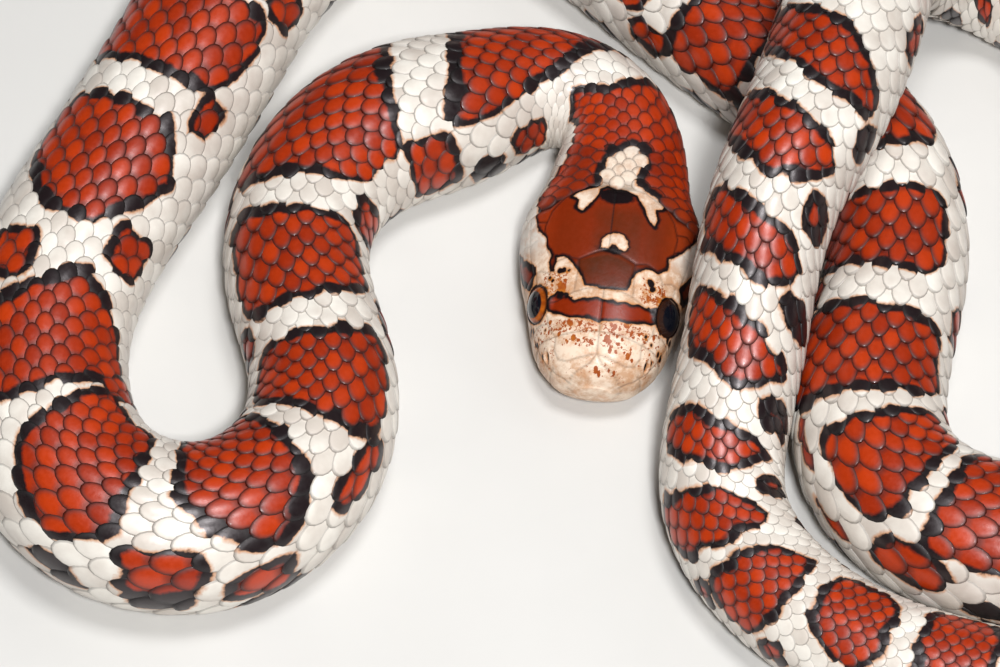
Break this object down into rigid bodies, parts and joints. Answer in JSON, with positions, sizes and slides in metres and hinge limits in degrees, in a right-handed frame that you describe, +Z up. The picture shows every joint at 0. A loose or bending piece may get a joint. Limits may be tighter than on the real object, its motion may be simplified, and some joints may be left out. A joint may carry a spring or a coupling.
{
  "type": "milk snake model",
  "caption": "Still life-size milk snake lying in loose coils on a floor, one coil over another, with red, black-edged blotches on cream and its head raised flat at the front.",
  "frame": {"origin": "centre of the bounding box, on the floor that the belly rests on", "axes": "+Z up from the floor, -Y the way the snout points, +X to the right of the view from the front"},
  "size_m": [0.131, 0.0905, 0.0222],
  "materials": {
    "saddle_red": "glossy scales",
    "lip_cream": "satin scales",
    "crown_brown": "glossy shields",
    "eye_black": "wet gloss"
  },
  "bodies": {
    "root": {"head": "crown_brown", "lower_jaw": "lip_cream", "neck": "saddle_red", "trunk_01": "saddle_red", "trunk_02": "saddle_red", "trunk_03": "saddle_red", "trunk_04": "saddle_red", "trunk_05": "saddle_red", "trunk_06": "saddle_red", "trunk_07": "saddle_red", "trunk_08": "saddle_red", "trunk_09": "saddle_red", "trunk_10": "saddle_red", "trunk_11": "saddle_red", "trunk_12": "saddle_red", "trunk_13": "saddle_red", "trunk_14": "saddle_red", "trunk_15": "saddle_red", "trunk_16": "saddle_red", "trunk_17": "saddle_red", "trunk_18": "saddle_red", "trunk_19": "saddle_red", "trunk_20": "saddle_red", "tail_base": "saddle_red", "tail_tip": "saddle_red", "eye_left": "eye_black", "eye_right": "eye_black"}
  },
  "joints": []
}
